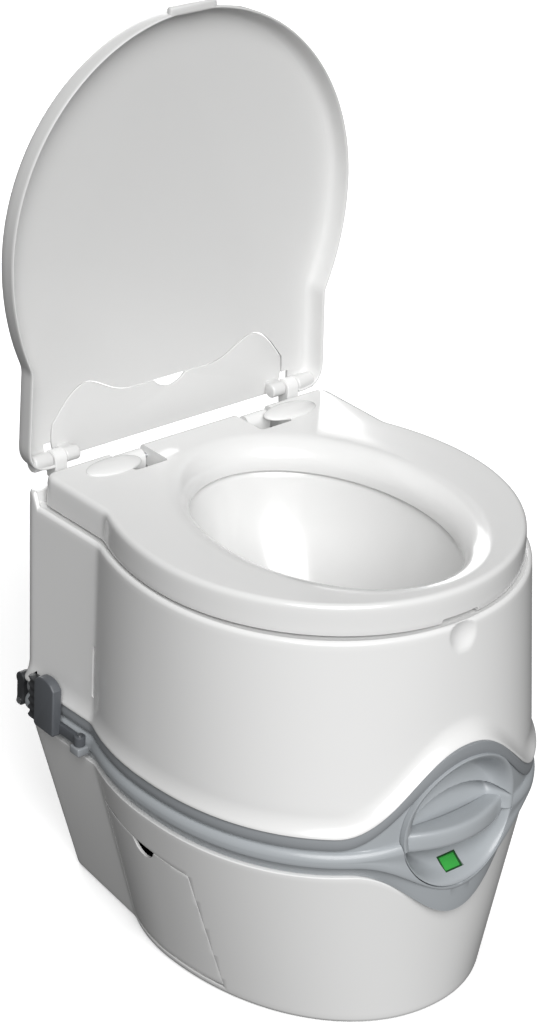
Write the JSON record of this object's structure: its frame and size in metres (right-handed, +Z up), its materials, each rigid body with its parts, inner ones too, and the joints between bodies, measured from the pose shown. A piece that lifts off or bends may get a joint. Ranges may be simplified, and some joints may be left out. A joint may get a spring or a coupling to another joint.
{
  "type": "portable camp toilet",
  "caption": "Free-standing camping toilet: seat and lid on a flush-water tank with a bowl, latched over a removable waste tank with a pull-out valve and pour spout.",
  "frame": {"origin": "centre of the flat underside, midway between the side walls", "axes": "+Z up, -Y towards the front with the pull bar and gauge window, +X to the right of a viewer who faces the front"},
  "size_m": [0.396, 0.4498, 0.8491],
  "materials": {
    "white_shell": "glossy white ABS",
    "grey_trim": "satin blue-grey ABS",
    "latch_grey": "satin mid-grey polypropylene",
    "dark_grip": "matt dark grey polypropylene",
    "black_rubber": "matt black nitrile rubber",
    "green_window": "tinted green acrylic",
    "green_flag": "green moulded indicator",
    "valve_plastic": "natural grey polypropylene",
    "button_grey": "glossy grey push button",
    "steel_pins": "stainless steel",
    "pump_black": "black nylon",
    "hose_clear": "milky polyethylene tube",
    "cell_jacket": "printed steel jacket, blank"
  },
  "bodies": {
    "lower_unit": {"lower_tank": "white_shell", "paper_compartment": "dark_grip", "door_pins": "steel_pins", "collar": "grey_trim", "front_escutcheon": "grey_trim", "level_window": "green_window", "float_pin": "steel_pins", "valve_housing": "valve_plastic", "housing_screws": "steel_pins", "deck_gasket": "black_rubber", "bowl_seal": "black_rubber", "vent_valve": "valve_plastic", "vent_spring": "steel_pins", "handle_pins": "steel_pins", "latch_pins": "steel_pins"},
    "level_gauge": {"level_float": "valve_plastic", "level_flag": "green_flag"},
    "waste_valve": {"valve_blade": "valve_plastic", "valve_stem": "valve_plastic", "valve_bar": "grey_trim"},
    "vent_plunger": {"vent_button": "valve_plastic"},
    "pour_spout": {"spout": "latch_grey", "spout_oring": "black_rubber"},
    "pour_cap": {"spout_cap": "latch_grey", "cap_gasket": "black_rubber"},
    "carry_handle_body": {"carry_handle": "dark_grip"},
    "left_latch": {"latch_left": "latch_grey"},
    "right_latch": {"latch_right": "latch_grey"},
    "door": {"paper_door": "white_shell"},
    "upper_unit": {"base_tray": "grey_trim", "upper_tank": "white_shell", "bowl": "white_shell", "seat_brackets": "white_shell", "seat_pins": "steel_pins", "lid_brackets": "white_shell", "lid_pins": "steel_pins", "control_panel": "grey_trim", "flush_switch": "pump_black", "pump": "pump_black", "flush_pipe": "hose_clear", "battery_box": "valve_plastic", "batteries": "cell_jacket", "battery_cover": "grey_trim"},
    "seat_ring": {"seat": "white_shell", "hinge_covers": "white_shell", "seat_bumpers": "black_rubber"},
    "lid_shell": {"lid": "white_shell"},
    "flap": {"lid_flap": "white_shell"},
    "water_cap": {"filler_cap": "latch_grey", "filler_gasket": "black_rubber"},
    "flush_plunger": {"flush_button": "button_grey"}
  },
  "joints": [
    {"name": "upper_lift", "type": "slide", "parent": "lower_unit", "child": "upper_unit", "axis": [0, 0, 1], "range_m": [0, 0.25]},
    {"name": "seat_hinge", "type": "hinge", "parent": "upper_unit", "child": "seat_ring", "pos_m": [0, 0.197, 0.428], "axis": [-1, 0, 0], "range_deg": [0, 85]},
    {"name": "lid_hinge", "type": "hinge", "parent": "upper_unit", "child": "lid_shell", "pos_m": [0, 0.224, 0.438], "axis": [-1, 0, 0], "range_deg": [-89.9, 0]},
    {"name": "flap_hinge", "type": "hinge", "parent": "lid_shell", "child": "flap", "pos_m": [0, 0.224, 0.438], "axis": [-1, 0, 0], "range_deg": [0, 15]},
    {"name": "filler_cap_twist", "type": "hinge", "parent": "upper_unit", "child": "water_cap", "pos_m": [0.105, 0.19, 0.346], "axis": [0, 0.7071, 0.7071], "range_deg": [0, 90]},
    {"name": "flush_press", "type": "slide", "parent": "upper_unit", "child": "flush_plunger", "axis": [-1, 0, 0], "range_m": [0, 0.0015], "stiffness_N_per_m": 600},
    {"name": "valve_pull", "type": "slide", "parent": "lower_unit", "child": "waste_valve", "axis": [0, -1, 0], "range_m": [0, 0.095]},
    {"name": "gauge_swing", "type": "hinge", "parent": "lower_unit", "child": "level_gauge", "pos_m": [0, -0.1575, 0.1275], "axis": [1, 0, 0], "range_deg": [0, 18]},
    {"name": "latch_left_swing", "type": "hinge", "parent": "lower_unit", "child": "left_latch", "pos_m": [-0.1815, 0.124, 0.198], "axis": [0, 0, 1], "range_deg": [0, 35]},
    {"name": "latch_right_swing", "type": "hinge", "parent": "lower_unit", "child": "right_latch", "pos_m": [0.1815, 0.124, 0.198], "axis": [0, 0, -1], "range_deg": [0, 35]},
    {"name": "paper_door_tilt", "type": "hinge", "parent": "lower_unit", "child": "door", "pos_m": [-0.1425, 0, 0.01], "axis": [0, -1, 0], "range_deg": [0, 15]},
    {"name": "spout_swing", "type": "hinge", "parent": "lower_unit", "child": "pour_spout", "pos_m": [0.095, 0.203, 0.143], "axis": [0, 0, -1], "range_deg": [0, 90]},
    {"name": "spout_cap_twist", "type": "hinge", "parent": "pour_spout", "child": "pour_cap", "pos_m": [-0.014, 0.203, 0.143], "axis": [-1, 0, 0], "range_deg": [0, 90]},
    {"name": "vent_press", "type": "slide", "parent": "lower_unit", "child": "vent_plunger", "axis": [0, 0, -1], "range_m": [0, 0.006], "stiffness_N_per_m": 400, "deforming": ["vent_spring"]},
    {"name": "handle_swing", "type": "hinge", "parent": "lower_unit", "child": "carry_handle_body", "pos_m": [0, 0.231, 0.186], "axis": [-1, 0, 0], "range_deg": [0, 90]}
  ]
}
